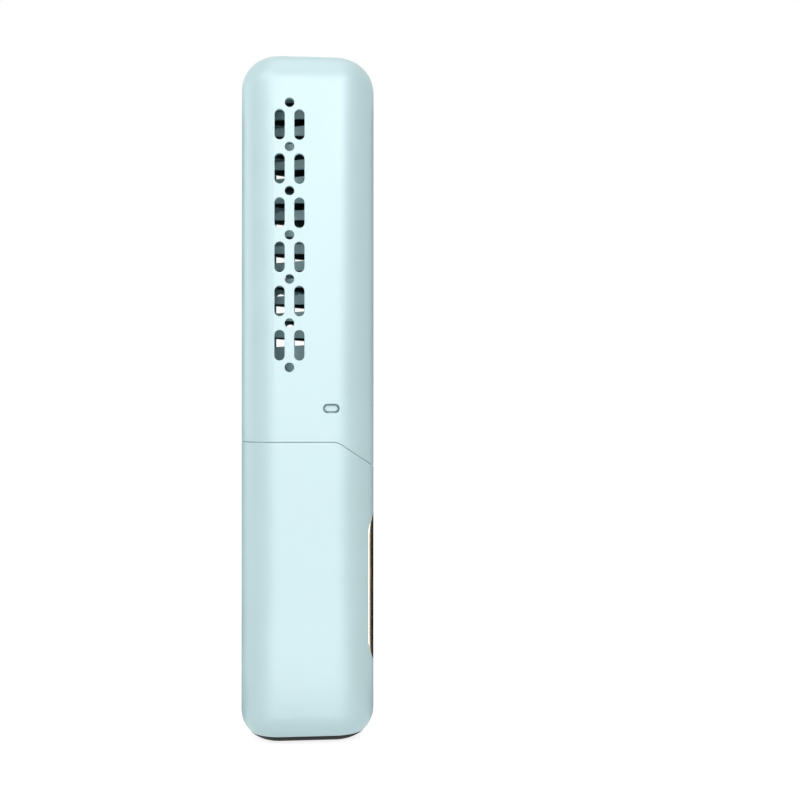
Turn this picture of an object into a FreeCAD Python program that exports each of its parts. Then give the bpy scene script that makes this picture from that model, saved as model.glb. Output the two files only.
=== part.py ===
"""Cordless hot comb with a pull-off vented cap, as named sub-parts in millimetres.

The origin is the centre of the base. +Z runs up the handle to the comb, -Y is the face with the latch window,
-X is the side of the teeth and +X is the spine side with the power button and the trim plate.
"""
import FreeCAD
import Part
import math
import os
import re
import Sketcher

SIZES = [
    # Body outline, shared by the handle and the cap
    ("body_width", "40 mm"),
    ("body_depth", "26 mm"),
    ("total_height", "206 mm"),
    ("end_flat", "1 mm"),
    ("top_flat", "2 mm"),
    ("base_round", "9 mm"),
    ("half_width", "body_width / 2"),
    ("half_depth", "body_depth / 2"),
    ("corner_radius", "half_depth - end_flat"),
    ("top_round", "corner_radius - top_flat"),
    # Parting line between the handle and the cap
    ("rim_height", "89.8 mm"),
    ("rim_run", "11.3 mm"),
    ("rim_drop", "7.6 mm"),
    ("rim_round", "5 mm"),
    ("seam_gap", "0.12 mm"),
    ("rim_edge", "0.2 mm"),
    ("rim_break", "half_width - rim_run"),
    ("rim_angle", "atan(rim_drop / rim_run)"),
    ("rim_tangent", "rim_round * tan(rim_angle / 2)"),
    # Gaps and the length by which a cut runs past a face
    ("overrun", "2 mm"),
    ("fit_gap", "0.1 mm"),
    ("slide_gap", "0.25 mm"),
    # Cap
    ("cap_wall", "1.8 mm"),
    ("cap_top_wall", "2 mm"),
    ("cap_gap", "0.3 mm"),
    ("cap_low", "rim_height - rim_drop - overrun"),
    ("vent_offset", "5.5 mm"),
    ("vent_spacing", "5.8 mm"),
    ("vent_pitch", "13 mm"),
    ("vent_rise", "22 mm"),
    ("vent_margin", "15 mm"),
    ("slot_width", "3 mm"),
    ("slot_height", "9 mm"),
    ("hole_diameter", "2.8 mm"),
    ("vent_low", "rim_height + vent_rise"),
    ("slot_rows", "floor((total_height - vent_margin - vent_low) / vent_pitch)"),
    ("hole_rows", "slot_rows + 1"),
    # Neck
    ("neck_inset", "cap_wall + cap_gap"),
    ("neck_wall", "1.8 mm"),
    ("neck_depth", "12.8 mm"),
    ("neck_rise", "12.4 mm"),
    ("neck_half_width", "half_width - neck_inset"),
    ("neck_half_depth", "half_depth - neck_inset"),
    ("neck_radius", "corner_radius - neck_inset"),
    ("neck_flat_x", "neck_half_width - neck_radius"),
    ("neck_flat_y", "neck_half_depth - neck_radius"),
    ("neck_low", "rim_height - neck_depth"),
    ("neck_top", "rim_height + neck_rise"),
    ("neck_roof", "neck_top - neck_wall"),
    # Latch between the cap and the neck
    ("latch_inset", "1.2 mm"),
    ("latch_rise", "9.9 mm"),
    ("bump_width", "4.2 mm"),
    ("bump_height", "2.1 mm"),
    ("bump_rise", "1 mm"),
    ("bump_round", "0.4 mm"),
    ("window_gap", "0.35 mm"),
    ("rib_width", "2.2 mm"),
    ("rib_rise", "0.5 mm"),
    ("latch_offset", "neck_flat_x - latch_inset"),
    ("latch_height", "rim_height + latch_rise"),
    ("window_width", "bump_width + 2 * window_gap"),
    ("window_height", "bump_height + 2 * window_gap"),
    ("groove_reach", "neck_half_depth + bump_rise + slide_gap"),
    # Comb head
    ("flare_height", "10.8 mm"),
    ("flare_share", "0.75"),
    ("crown_gap", "2.5 mm"),
    ("crown_flat", "4 mm"),
    ("head_fall", "2.6 mm"),
    ("head_wall", "0.9 mm"),
    ("tip_step", "0.2 mm"),
    ("tip_radius", "1.3 mm"),
    ("tip_round", "3 mm"),
    ("spine_step", "0.4 mm"),
    ("spine_inset", "1.8 mm"),
    ("spine_round", "6 mm"),
    ("spine_land", "0.9 mm"),
    ("head_base", "neck_top + flare_height"),
    ("head_top", "total_height - cap_top_wall - crown_gap"),
    ("crown_round", "half_depth - crown_flat"),
    ("tip_reach", "neck_half_width - tip_step"),
    ("tip_centre", "tip_reach - tip_radius"),
    ("spine_radius", "neck_half_depth - spine_step"),
    ("spine_offset", "neck_half_width - spine_inset - spine_radius"),
    ("spine_back", "spine_offset + sqrt(spine_radius ^ 2 - spine_land ^ 2)"),
    # Heating comb and heater
    ("fin_gap", "0.15 mm"),
    ("comb_start", "1.5 mm"),
    ("comb_margin", "6 mm"),
    ("comb_inset", "2.3 mm"),
    ("heater_thickness", "2.4 mm"),
    ("heater_inset", "6 mm"),
    ("heater_margin", "3.5 mm"),
    ("lip_thickness", "1 mm"),
    ("sheet_thickness", "0.8 mm"),
    ("clamp_thickness", "0.6 mm"),
    ("sensor_rise", "35.5 mm"),
    ("sensor_radius", "0.8 mm"),
    ("sensor_length", "5 mm"),
    ("fuse_radius", "1.3 mm"),
    ("fuse_length", "9 mm"),
    ("lead_radius", "0.6 mm"),
    ("lead_share", "5 / 9"),
    ("lead_overlap", "6 mm"),
    ("channel_reach", "2.3 mm"),
    ("comb_low", "head_base + comb_start"),
    ("comb_high", "head_top - comb_margin"),
    ("comb_back", "spine_offset - comb_inset"),
    ("heater_half_width", "spine_radius - heater_inset"),
    ("heater_high", "comb_high - heater_margin"),
    ("heater_back", "comb_back + heater_thickness"),
    ("sheet_back", "heater_back + sheet_thickness"),
    ("clamp_back", "sheet_back + clamp_thickness"),
    ("cavity_back", "clamp_back + fit_gap"),
    ("sensor_height", "comb_low + sensor_rise"),
    ("lead_spread", "heater_half_width * lead_share"),
    # Hollow cells in the spine
    ("spine_cell_wall", "3.3 mm"),
    ("spine_cell_inset", "4.5 mm"),
    ("spine_cell_rows", "4"),
    ("spine_rib", "2 mm"),
    ("spine_cell_reach", "spine_offset + spine_radius - spine_cell_wall"),
    ("spine_cell_depth", "spine_radius - spine_cell_inset"),
    # Gaps between the teeth
    ("gap_pitch", "5.06 mm"),
    ("gap_start", "5.15 mm"),
    ("gap_margin", "10.5 mm"),
    ("gap_root", "2 mm"),
    ("gap_mouth", "3.5 mm"),
    ("gap_inset", "2.6 mm"),
    ("tooth_share", "0.46"),
    ("gap_low", "comb_low + gap_start"),
    ("gap_count", "floor((head_top - gap_margin - gap_low) / gap_pitch) + 1"),
    ("gap_end", "comb_back - gap_inset"),
    ("tooth_round", "(gap_pitch - gap_mouth) * tooth_share"),
    # Sleeve and base
    ("sleeve_wall", "neck_inset - fit_gap"),
    ("base_height", "1.8 mm"),
    ("floor_wall", "1.7 mm"),
    ("floor_top", "base_height + floor_wall"),
    # Trim plate on the spine side
    ("trim_low", "23.1 mm"),
    ("trim_drop", "13.5 mm"),
    ("trim_inset", "5.8 mm"),
    ("trim_thickness", "0.85 mm"),
    ("tape_thickness", "0.15 mm"),
    ("trim_gap", "0.25 mm"),
    ("tape_margin", "0.8 mm"),
    ("trim_high", "rim_height - rim_drop - trim_drop"),
    ("trim_half_width", "half_depth - trim_inset"),
    ("trim_depth", "trim_thickness + tape_thickness"),
    ("trim_middle", "(trim_low + trim_high) / 2"),
    ("trim_half_length", "(trim_high - trim_low) / 2"),
    # Charging socket and the plug of the base round it
    ("socket_half_width", "4.47 mm"),
    ("socket_half_height", "1.63 mm"),
    ("socket_wall", "0.3 mm"),
    ("socket_low", "0.5 mm"),
    ("socket_length", "7.3 mm"),
    ("socket_back", "1.2 mm"),
    ("tongue_half_height", "0.35 mm"),
    ("tongue_margin", "0.82 mm"),
    ("tongue_recess", "1 mm"),
    ("plug_wall_x", "1.97 mm"),
    ("plug_wall_y", "2.13 mm"),
    ("socket_high", "socket_low + socket_length"),
    ("tongue_half_width", "socket_half_width - socket_wall - tongue_margin"),
    ("plug_half_width", "socket_half_height + plug_wall_x"),
    ("plug_half_length", "socket_half_width + plug_wall_y"),
    ("plug_top", "floor_top - seam_gap"),
    # Inner frame
    ("frame_wall", "1.5 mm"),
    ("bay_bite", "0.45 mm"),
    ("bay_floor", "5.6 mm"),
    ("wall_bite", "0.3 mm"),
    ("rail_depth", "1 mm"),
    ("rail_width", "1 mm"),
    ("post_share", "50 / 81"),
    ("post_inset", "1 mm"),
    ("post_rise", "9.9 mm"),
    ("post_gap", "1.2 mm"),
    ("frame_low", "floor_top + fit_gap"),
    ("frame_high", "neck_low - fit_gap"),
    ("frame_half_width", "half_width - sleeve_wall - fit_gap"),
    ("frame_half_depth", "half_depth - sleeve_wall - fit_gap"),
    ("frame_radius", "corner_radius - sleeve_wall - fit_gap"),
    ("frame_round", "base_round - sleeve_wall"),
    ("bay_low", "frame_low + bay_floor"),
    ("post_width", "(neck_radius - neck_wall) * post_share"),
    ("post_top", "neck_low + post_rise"),
    ("post_half_depth", "neck_half_depth - neck_wall - post_gap"),
    # Main board and what stands on it
    ("board_thickness", "1.2 mm"),
    ("board_tail_margin", "0.53 mm"),
    ("board_overlap", "2.6 mm"),
    ("board_step", "0.2 mm"),
    ("board_drop", "1.9 mm"),
    ("coil_radius", "3.2 mm"),
    ("coil_height", "3 mm"),
    ("coil_drop", "10 mm"),
    ("chip_half_width", "2.5 mm"),
    ("chip_height", "1.1 mm"),
    ("chip_length", "5 mm"),
    ("chip_pitch", "9 mm"),
    ("chip_count", "3"),
    ("chip_drop", "35 mm"),
    ("board_half_width", "frame_half_depth - frame_wall - 2 * fit_gap"),
    ("board_tail_half_width", "socket_half_width + board_tail_margin"),
    ("board_low", "socket_high - board_overlap"),
    ("board_shoulder", "bay_low + board_step"),
    ("board_high", "frame_high - board_drop"),
    ("board_back", "socket_half_height + board_thickness"),
    ("chip_low", "board_high - chip_drop"),
    ("coil_z", "chip_low - coil_drop"),
    ("lead_back", "board_back + 2 * lead_radius"),
    ("channel_front", "min(comb_back - channel_reach; board_back - fit_gap)"),
    ("channel_back", "max(cavity_back; lead_back + fit_gap)"),
    ("post_low", "max(neck_flat_x - post_inset; lead_back + fit_gap)"),
    ("post_high", "post_low + post_width"),
    # Battery, as large as the frame lets it be
    ("cell_end_wall", "0.85 mm"),
    ("cell_side_wall", "1.6 mm"),
    ("cell_drop", "2.9 mm"),
    ("cell_board_gap", "0.18 mm"),
    ("nub_radius", "3 mm"),
    ("nub_height", "0.6 mm"),
    ("tab_thickness", "0.2 mm"),
    ("tab_half_width", "3 mm"),
    ("tab_overlap", "3.5 mm"),
    ("cell_low", "bay_low - tab_thickness"),
    ("cell_high", "frame_high - cell_drop"),
    ("cell_length", "cell_high - cell_low"),
    ("cell_left", "frame_half_width - cell_end_wall - fit_gap"),
    ("cell_right", "socket_half_height - cell_board_gap"),
    ("cell_radius", "min(frame_half_depth - cell_side_wall - fit_gap; (cell_left + cell_right) / 2)"),
    ("cell_offset", "cell_left - cell_radius"),
    ("tab_clearance", "sqrt((cell_radius + fit_gap) ^ 2 - tab_half_width ^ 2)"),
    ("bay_start", "min(cell_radius - bay_bite; tab_clearance) - cell_offset"),
    ("well_start", "min(-(socket_half_height + slide_gap); bay_start)"),
    ("bridge_low", "cell_high + 2 * tab_thickness"),
    # Screws
    ("screw_radius", "0.8 mm"),
    ("head_radius", "1.5 mm"),
    ("head_height", "0.9 mm"),
    ("screw_gap", "0.1 mm"),
    ("frame_screw_inset", "1.5 mm"),
    ("frame_screw_rise", "5 mm"),
    ("frame_screw_length", "5 mm"),
    ("base_screw_x", "10 mm"),
    ("base_screw_low", "0.15 mm"),
    ("base_screw_length", "7.5 mm"),
    ("frame_screw_x", "post_low + frame_screw_inset"),
    ("frame_screw_z", "neck_low + frame_screw_rise"),
    ("frame_screw_face", "neck_half_depth - 3 * screw_gap"),
    # Power button and its switch
    ("button_rise", "4.4 mm"),
    ("button_inset", "5.6 mm"),
    ("button_reach", "1.7 mm"),
    ("button_sink", "0.05 mm"),
    ("button_round", "0.3 mm"),
    ("flange_inset", "3.9 mm"),
    ("flange_thickness", "1 mm"),
    ("flange_margin", "0.7 mm"),
    ("plunger_radius", "1.7 mm"),
    ("plunger_gap", "1 mm"),
    ("switch_half", "3 mm"),
    ("switch_gap", "1.6 mm"),
    ("switch_height", "2.8 mm"),
    ("switch_floor", "0.6 mm"),
    ("key_board_thickness", "1 mm"),
    ("key_board_margin", "0.3 mm"),
    ("key_board_drop", "0.6 mm"),
    ("button_height", "rim_height + button_rise"),
    ("button_half_width", "neck_half_depth - button_inset"),
    ("button_half_height", "button_half_width - button_reach"),
    ("flange_top", "neck_half_width - flange_inset"),
    ("flange_low", "flange_top - flange_thickness"),
    ("switch_high", "flange_low - switch_gap"),
    ("switch_low", "switch_high - switch_height"),
    ("bore_low", "switch_low + switch_floor"),
    ("plunger_low", "bore_low + plunger_gap"),
    ("key_board_half_width", "neck_half_depth - neck_wall - key_board_margin"),
    ("key_board_high", "neck_roof - key_board_drop"),
]
ALIASES = {alias for alias, text in SIZES}

# Distance within which an edge counts as lying on a plane
EDGE_TOLERANCE = 1e-4

doc = FreeCAD.newDocument("hot_comb")
sheet = doc.addObject("Spreadsheet::Sheet", "Sizes")
for row, (alias, text) in enumerate(SIZES, 1):
    sheet.set(f"A{row}", alias)
    sheet.set(f"B{row}", f"={text}")
    sheet.setAlias(f"B{row}", alias)
doc.recompute()


def bound(text):
    """The expression with every sheet alias written as a reference to the sheet."""
    return re.sub(r"[a-z_]\w*", lambda word: f"Sizes.{word[0]}" if word[0] in ALIASES else word[0], text)


def value(text):
    """The number that an expression has now."""
    found = sheet.evalExpression(bound(text))
    return float(getattr(found, "Value", found))


def bind(piece, name, text):
    """Ties one property of a piece to the sheet."""
    piece.setExpression(name, bound(text))


# Sketches

def new_body(name):
    """An empty body."""
    return doc.addObject("PartDesign::Body", name)


def new_sketch(body, plane, height="0 mm"):
    """A sketch on an origin plane of the body, moved along the normal of the plane."""
    sketch = body.newObject("Sketcher::SketchObject", f"{body.Name}_sketch")
    support = next(item for item in body.Origin.OriginFeatures if item.Role == plane)
    sketch.AttachmentSupport = (support, [""])
    sketch.MapMode = "FlatFace"
    bind(sketch, "AttachmentOffset.Base.z", height)
    return sketch


def pin(sketch, geometry, point, x, y):
    """Holds a point of a sketch at coordinates taken from the sheet."""
    for kind, text in (("DistanceX", x), ("DistanceY", y)):
        rule = sketch.addConstraint(Sketcher.Constraint(kind, -1, 1, geometry, point, value(text)))
        sketch.setExpression(f"Constraints[{rule}]", bound(text))


def hold_radius(sketch, geometry, radius):
    """Holds the radius of an arc or circle of a sketch."""
    rule = sketch.addConstraint(Sketcher.Constraint("Radius", geometry, value(radius)))
    sketch.setExpression(f"Constraints[{rule}]", bound(radius))


def arc_between(start, end, radius):
    """The arc of less than a half turn that runs counterclockwise from start to end."""
    run = end - start
    rise = math.sqrt(max(radius ** 2 - (run.Length / 2) ** 2, 0))
    centre = (start + end) / 2 + FreeCAD.Vector(-run.y, run.x, 0).normalize() * rise
    first = math.atan2(start.y - centre.y, start.x - centre.x)
    last = math.atan2(end.y - centre.y, end.x - centre.x)
    return Part.ArcOfCircle(Part.Circle(centre, FreeCAD.Vector(0, 0, 1), radius), first, last)


def draw(sketch, corners):
    """A closed outline through corners (x, y), or (x, y, radius, turn) where an arc runs to the next corner.

    The turn is 1 for a counterclockwise arc and -1 for a clockwise one.
    """
    spots = [FreeCAD.Vector(value(corner[0]), value(corner[1]), 0) for corner in corners]
    edges = []
    for index, corner in enumerate(corners):
        start, end = spots[index], spots[(index + 1) % len(corners)]
        if len(corner) == 2:
            edges.append((sketch.addGeometry(Part.LineSegment(start, end)), 1, 2))
        elif corner[3] > 0:
            edges.append((sketch.addGeometry(arc_between(start, end, value(corner[2]))), 1, 2))
        else:
            edges.append((sketch.addGeometry(arc_between(end, start, value(corner[2]))), 2, 1))
    for (geometry, _, last), (after, first, _) in zip(edges, edges[1:] + edges[:1]):
        sketch.addConstraint(Sketcher.Constraint("Coincident", geometry, last, after, first))
    for corner, (geometry, first, _) in zip(corners, edges):
        pin(sketch, geometry, first, corner[0], corner[1])
        if len(corner) > 2:
            hold_radius(sketch, geometry, corner[2])
    return sketch


def draw_circle(sketch, x, y, radius):
    """A circle about a point."""
    centre = FreeCAD.Vector(value(x), value(y), 0)
    geometry = sketch.addGeometry(Part.Circle(centre, FreeCAD.Vector(0, 0, 1), value(radius)))
    pin(sketch, geometry, 3, x, y)
    hold_radius(sketch, geometry, radius)
    return sketch


def rectangle(low_x, high_x, low_y, high_y):
    """Corners of a rectangle."""
    return [(low_x, low_y), (high_x, low_y), (high_x, high_y), (low_x, high_y)]


def rounded(half_x, half_y, radius):
    """Corners of a rectangle about the origin with round corners."""
    flat_x, flat_y = f"({half_x} - {radius})", f"({half_y} - {radius})"
    return [
        (f"-{flat_x}", f"-({half_y})"),
        (flat_x, f"-({half_y})", radius, 1),
        (half_x, f"-{flat_y}"),
        (half_x, flat_y, radius, 1),
        (flat_x, half_y),
        (f"-{flat_x}", half_y, radius, 1),
        (f"-({half_x})", flat_y),
        (f"-({half_x})", f"-{flat_y}", radius, 1),
    ]


def body_outline(inset):
    """Corners of the body outline moved inward."""
    return rounded(f"half_width - ({inset})", f"half_depth - ({inset})", f"(corner_radius - ({inset}))")


def pill(x, y, half_x, half_y):
    """Corners of a slot with round ends that is longer along the second axis."""
    reach = f"({half_y} - {half_x})"
    return [
        (f"{x} + {half_x}", f"{y} - {reach}"),
        (f"{x} + {half_x}", f"{y} + {reach}", half_x, 1),
        (f"{x}", f"{y} + {half_y}", half_x, 1),
        (f"{x} - {half_x}", f"{y} + {reach}"),
        (f"{x} - {half_x}", f"{y} - {reach}", half_x, 1),
        (f"{x}", f"{y} - {half_y}", half_x, 1),
    ]


def lying_pill(x, y, half_x, half_y):
    """Corners of a slot with round ends that is longer along the first axis."""
    reach = f"({half_x} - {half_y})"
    return [
        (f"{x} - {reach}", f"{y} - {half_y}"),
        (f"{x} + {reach}", f"{y} - {half_y}", half_y, 1),
        (f"{x} + {half_x}", f"{y}", half_y, 1),
        (f"{x} + {reach}", f"{y} + {half_y}"),
        (f"{x} - {reach}", f"{y} + {half_y}", half_y, 1),
        (f"{x} - {half_x}", f"{y}", half_y, 1),
    ]


# Features of a body

def finish(body, feature):
    """Recomputes the body with the feature as its tip."""
    body.Tip = feature
    doc.recompute()
    return feature


def pad(body, sketch, length, back=False):
    """Material along the normal of the sketch, or against it."""
    feature = body.newObject("PartDesign::Pad", f"{body.Name}_pad")
    feature.Profile = sketch
    feature.Reversed = back
    bind(feature, "Length", length)
    return finish(body, feature)


def cut(body, sketch, length, forward=False):
    """A cut against the normal of the sketch, or along it."""
    feature = body.newObject("PartDesign::Pocket", f"{body.Name}_cut")
    feature.Profile = sketch
    feature.Reversed = forward
    bind(feature, "Length", length)
    return finish(body, feature)


def cut_through(body, sketch):
    """A cut through the whole body on both sides of the sketch."""
    feature = body.newObject("PartDesign::Pocket", f"{body.Name}_cut")
    feature.Profile = sketch
    feature.SideType = "Symmetric"
    feature.Type = "ThroughAll"
    return finish(body, feature)


def repeat(body, feature, count, pitch):
    """Copies of a feature up the Z axis."""
    pattern = body.newObject("PartDesign::LinearPattern", f"{body.Name}_row")
    pattern.Originals = [feature]
    pattern.Direction = (next(item for item in body.Origin.OriginFeatures if item.Role == "Z_Axis"), [""])
    bind(pattern, "Occurrences", count)
    bind(pattern, "Length", f"({count} - 1) * {pitch}")
    return finish(body, pattern)


def round_edges(body, radius, wanted):
    """Fillets on the edges of the body that the test picks."""
    before = body.Tip
    names = [f"Edge{number}" for number, edge in enumerate(before.Shape.Edges, 1) if wanted(edge)]
    feature = body.newObject("PartDesign::Fillet", f"{body.Name}_round")
    feature.Base = (before, names)
    bind(feature, "Radius", radius)
    return finish(body, feature)


def flat_at(axis, place):
    """A test for edges that lie at one place on an axis."""
    spot = value(place)

    def test(edge):
        ends = (getattr(edge.BoundBox, f"{axis}Min"), getattr(edge.BoundBox, f"{axis}Max"))
        return all(math.isclose(end, spot, abs_tol=EDGE_TOLERANCE) for end in ends)
    return test


# Simple solids

def block(name, x, y, z):
    """A box between two bounds on each axis."""
    piece = doc.addObject("Part::Box", name)
    for side, axis, (low, high) in zip(("Length", "Width", "Height"), "xyz", (x, y, z)):
        bind(piece, side, f"({high}) - ({low})")
        bind(piece, f"Placement.Base.{axis}", low)
    return piece


def rod(name, axis, radius, start, length):
    """A cylinder that starts at a point and runs along an axis."""
    piece = doc.addObject("Part::Cylinder", name)
    piece.Placement.Rotation = FreeCAD.Rotation(FreeCAD.Vector(0, 0, 1), axis)
    bind(piece, "Radius", radius)
    bind(piece, "Height", length)
    for name, text in zip("xyz", start):
        bind(piece, f"Placement.Base.{name}", text)
    return piece


def joined(name, pieces):
    """One object from several; solids that touch become one solid."""
    union = doc.addObject("Part::MultiFuse", name)
    union.Shapes = pieces
    return union


def group(name, pieces):
    """One object that holds several separate solids."""
    compound = doc.addObject("Part::Compound", name)
    compound.Links = pieces
    return compound


def without(name, base, tool):
    """A piece less another."""
    rest = doc.addObject("Part::Cut", name)
    rest.Base = base
    rest.Tool = tool
    return rest


UP = FreeCAD.Vector(0, 0, 1)
RIGHT = FreeCAD.Vector(1, 0, 0)
BACK = FreeCAD.Vector(0, 1, 0)


# Parting line

def above_rim(drop):
    """Corners of the region above the parting line, seen from the front and moved down by a drop."""
    edge = "half_width + overrun"
    fall = "overrun * tan(rim_angle)"
    return [
        (f"-({edge})", f"rim_height - {drop}"),
        ("rim_break - rim_tangent", f"rim_height - {drop}", "rim_round", -1),
        ("rim_break + rim_tangent * cos(rim_angle)", f"rim_height - rim_tangent * sin(rim_angle) - {drop}"),
        (edge, f"rim_height - rim_drop - {fall} - {drop}"),
        (edge, "total_height + overrun"),
        (f"-({edge})", "total_height + overrun"),
    ]


def below_rim():
    """Corners of the region below the parting line, seen from the front."""
    line = above_rim("0 mm")[:4]
    return line + [("half_width + overrun", "-overrun"), ("-(half_width + overrun)", "-overrun")]


def turned(corners):
    """The same outline walked the other way round."""
    back = []
    for index in range(len(corners) - 1, -1, -1):
        before = corners[index - 1]
        arc = (before[2], -before[3]) if len(before) > 2 else ()
        back.append((corners[index][0], corners[index][1]) + arc)
    return back


# Cap

def make_cap():
    """The vented cap that slides over the comb."""
    body = new_body("cap_shell")
    pad(body, draw(new_sketch(body, "XY_Plane", "cap_low"), body_outline("0 mm")), "total_height - cap_low")
    inside = draw(new_sketch(body, "XY_Plane", "cap_low"), body_outline("cap_wall"))
    cut(body, inside, "total_height - cap_top_wall - cap_low", forward=True)
    round_edges(body, "top_round - cap_top_wall", flat_at("Z", "total_height - cap_top_wall"))
    round_edges(body, "top_round", flat_at("Z", "total_height"))
    cut_through(body, draw(new_sketch(body, "XZ_Plane"), turned(below_rim())))
    round_edges(body, "rim_edge", lambda edge: edge.BoundBox.ZMax < value("rim_height + overrun"))

    # Latch windows in both faces, with grooves up to them for the bumps
    groove = new_sketch(body, "XZ_Plane", "-groove_reach")
    draw(groove, rectangle("latch_offset - window_width / 2", "latch_offset + window_width / 2",
                           "cap_low - overrun", "latch_height"))
    cut(body, groove, "2 * groove_reach", forward=True)
    window = new_sketch(body, "XZ_Plane")
    draw(window, lying_pill("latch_offset", "latch_height", "(window_width / 2)", "(window_height / 2)"))
    cut_through(body, window)

    # Vents through both faces
    slots = new_sketch(body, "XZ_Plane")
    for side in (-1, 1):
        draw(slots, pill(f"-vent_offset + {side} * vent_spacing / 2", "vent_low + vent_pitch / 2",
                         "slot_width / 2", "slot_height / 2"))
    repeat(body, cut_through(body, slots), "slot_rows", "vent_pitch")
    hole = draw_circle(new_sketch(body, "XZ_Plane"), "-vent_offset", "vent_low", "hole_diameter / 2")
    repeat(body, cut_through(body, hole), "hole_rows", "vent_pitch")
    return body


# Comb shells

def wedge(inset):
    """Half of the drop-shaped head section moved inward: tip, end of the tip arc, angle and half depth."""
    tip, half = f"(tip_radius - ({inset}))", f"(spine_radius - ({inset}))"
    run = "(spine_offset + tip_centre)"
    angle = f"(atan({half} / {run}) - asin({tip} / sqrt({run} ^ 2 + {half} ^ 2)))"
    arc_end = (f"-tip_centre - {tip} * sin({angle})", f"-{tip} * cos({angle})")
    return tip, arc_end, angle, half


def neck_section():
    """Corners of the front half of the neck."""
    return [
        ("-neck_half_width", "0 mm"),
        ("-neck_half_width", "-neck_flat_y", "neck_radius", 1),
        ("-neck_flat_x", "-neck_half_depth"),
        ("neck_flat_x", "-neck_half_depth", "neck_radius", 1),
        ("neck_half_width", "-neck_flat_y"),
        ("neck_half_width", "0 mm"),
    ]


def head_section():
    """Corners of the front half of the comb head."""
    tip, arc_end, angle, half = wedge("0 mm")
    return [
        ("-tip_reach", "0 mm", tip, 1),
        arc_end,
        ("-neck_flat_x", f"-({half} - (spine_offset + neck_flat_x) * tan({angle}))"),
        ("spine_offset", f"-{half}", half, 1),
        ("spine_back", "-spine_land"),
        ("spine_back", "0 mm"),
    ]


def flare_section():
    """Corners of the half section between the neck and the head."""
    pairs = [(f"((1 - flare_share) * ({neck[0]}) + flare_share * ({head[0]}))",
              f"((1 - flare_share) * ({neck[1]}) + flare_share * ({head[1]}))")
             for neck, head in zip(neck_section(), head_section())]
    bulge = "((1 - flare_share) * neck_radius * (1 - cos(45 deg)))"
    chord = f"(({pairs[2][0]} - {pairs[1][0]}) ^ 2 + ({pairs[2][1]} - {pairs[1][1]}) ^ 2)"
    pairs[1] += (f"{chord} / (8 * {bulge}) + {bulge} / 2", 1)
    pairs[3] += ("(1 - flare_share) * neck_radius + flare_share * spine_radius", 1)
    return pairs


def head_crown():
    """Corners of the region above the comb head, seen from the front."""
    low = "(head_top - head_fall)"
    edge = "half_width"
    return [
        (f"-{edge}", f"{low} - tip_round"),
        ("-tip_reach", f"{low} - tip_round", "tip_round", -1),
        ("-(tip_reach - tip_round)", low),
        ("spine_offset", "head_top"),
        ("spine_back - spine_round", "head_top", "spine_round", -1),
        ("spine_back", "head_top - spine_round"),
        (edge, "head_top - spine_round"),
        (edge, "head_top + overrun"),
        (f"-{edge}", "head_top + overrun"),
    ]


def side_crown():
    """Corners of the region above the front half of the comb head, seen from the spine side."""
    return [
        ("-body_depth", "head_top - crown_round"),
        ("-half_depth", "head_top - crown_round", "crown_round", -1),
        ("-(half_depth - crown_round)", "head_top"),
        ("overrun", "head_top"),
        ("overrun", "head_top + overrun"),
        ("-body_depth", "head_top + overrun"),
    ]


def tooth_gap(grow):
    """Corners of the lowest gap between two teeth, seen from the front and widened by a margin."""
    root, mouth = f"(gap_root / 2 + {grow})", f"(gap_mouth / 2 + {grow})"
    start, bend = "(gap_end - gap_root / 2)", "-(tip_reach - tooth_round)"
    outside = "-(tip_reach + overrun)"
    return [
        (start, f"gap_low - {root}", root, 1),
        (f"{start} + {root}", "gap_low", root, 1),
        (start, f"gap_low + {root}"),
        (bend, f"gap_low + {mouth}", "tooth_round", -1),
        ("-tip_reach", f"gap_low + {mouth} + tooth_round"),
        (outside, f"gap_low + {mouth} + tooth_round"),
        (outside, f"gap_low - {mouth} - tooth_round"),
        ("-tip_reach", f"gap_low - {mouth} - tooth_round", "tooth_round", -1),
        (bend, f"gap_low - {mouth}"),
    ]


def cut_gaps(body, grow):
    """The row of gaps between the teeth."""
    first = cut_through(body, draw(new_sketch(body, "XZ_Plane"), tooth_gap(grow)))
    return repeat(body, first, "gap_count", "gap_pitch")


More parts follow.
